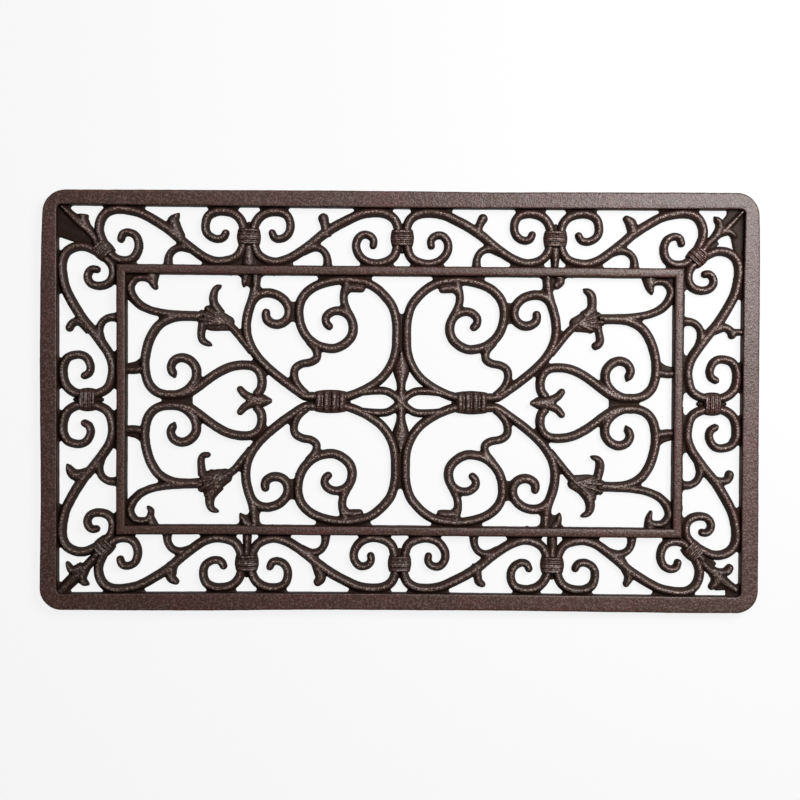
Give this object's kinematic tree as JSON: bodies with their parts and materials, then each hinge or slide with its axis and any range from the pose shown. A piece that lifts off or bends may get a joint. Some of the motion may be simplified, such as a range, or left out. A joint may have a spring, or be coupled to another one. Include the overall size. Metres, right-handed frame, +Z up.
{
  "type": "cast iron door mat",
  "caption": "Rectangular openwork cast iron door mat: a flat rounded rim, a border of curling scrolls and an inner frame round a panel of rings, hearts and bell flowers.",
  "frame": {"origin": "middle of the underside, on the surface that the mat lies on", "axes": "+X along the long side, +Y across to the other long side, +Z up out of the tread"},
  "size_m": [0.72, 0.42, 0.012],
  "materials": {
    "rail_iron": "sand cast, brown patina, rubbed a little paler on top",
    "ornament_iron": "sand cast, dark brown patina"
  },
  "bodies": {
    "root": {"outer_rim": "rail_iron", "inner_frame": "rail_iron", "long_side_scroll_top_left": "ornament_iron", "long_side_scroll_top_right": "ornament_iron", "long_side_scroll_bottom_left": "ornament_iron", "long_side_scroll_bottom_right": "ornament_iron", "short_side_scroll_top_left": "ornament_iron", "short_side_scroll_top_right": "ornament_iron", "short_side_scroll_bottom_left": "ornament_iron", "short_side_scroll_bottom_right": "ornament_iron", "middle_scroll_top_left": "ornament_iron", "middle_scroll_top_right": "ornament_iron", "middle_scroll_bottom_left": "ornament_iron", "middle_scroll_bottom_right": "ornament_iron", "side_collar_top_left": "ornament_iron", "side_collar_top_right": "ornament_iron", "side_collar_bottom_left": "ornament_iron", "side_collar_bottom_right": "ornament_iron", "corner_collar_top_left": "ornament_iron", "corner_collar_top_right": "ornament_iron", "corner_collar_bottom_left": "ornament_iron", "corner_collar_bottom_right": "ornament_iron", "corner_fleuron_top_left": "ornament_iron", "corner_fleuron_top_right": "ornament_iron", "corner_fleuron_bottom_left": "ornament_iron", "corner_fleuron_bottom_right": "ornament_iron", "ring_scroll_top_left": "ornament_iron", "ring_scroll_top_right": "ornament_iron", "ring_scroll_bottom_left": "ornament_iron", "ring_scroll_bottom_right": "ornament_iron", "heart_scroll_top_left": "ornament_iron", "heart_scroll_top_right": "ornament_iron", "heart_scroll_bottom_left": "ornament_iron", "heart_scroll_bottom_right": "ornament_iron", "c_scroll_top_left": "ornament_iron", "c_scroll_top_right": "ornament_iron", "c_scroll_bottom_left": "ornament_iron", "c_scroll_bottom_right": "ornament_iron", "bell_flower_top_left": "ornament_iron", "bell_flower_top_right": "ornament_iron", "bell_flower_bottom_left": "ornament_iron", "bell_flower_bottom_right": "ornament_iron", "middle_collar_top": "ornament_iron", "middle_collar_bottom": "ornament_iron", "end_collar_left": "ornament_iron", "end_collar_right": "ornament_iron", "axis_collar_left": "ornament_iron", "axis_collar_right": "ornament_iron", "trefoil_left": "ornament_iron", "trefoil_right": "ornament_iron", "centre_cross": "ornament_iron"}
  },
  "joints": []
}
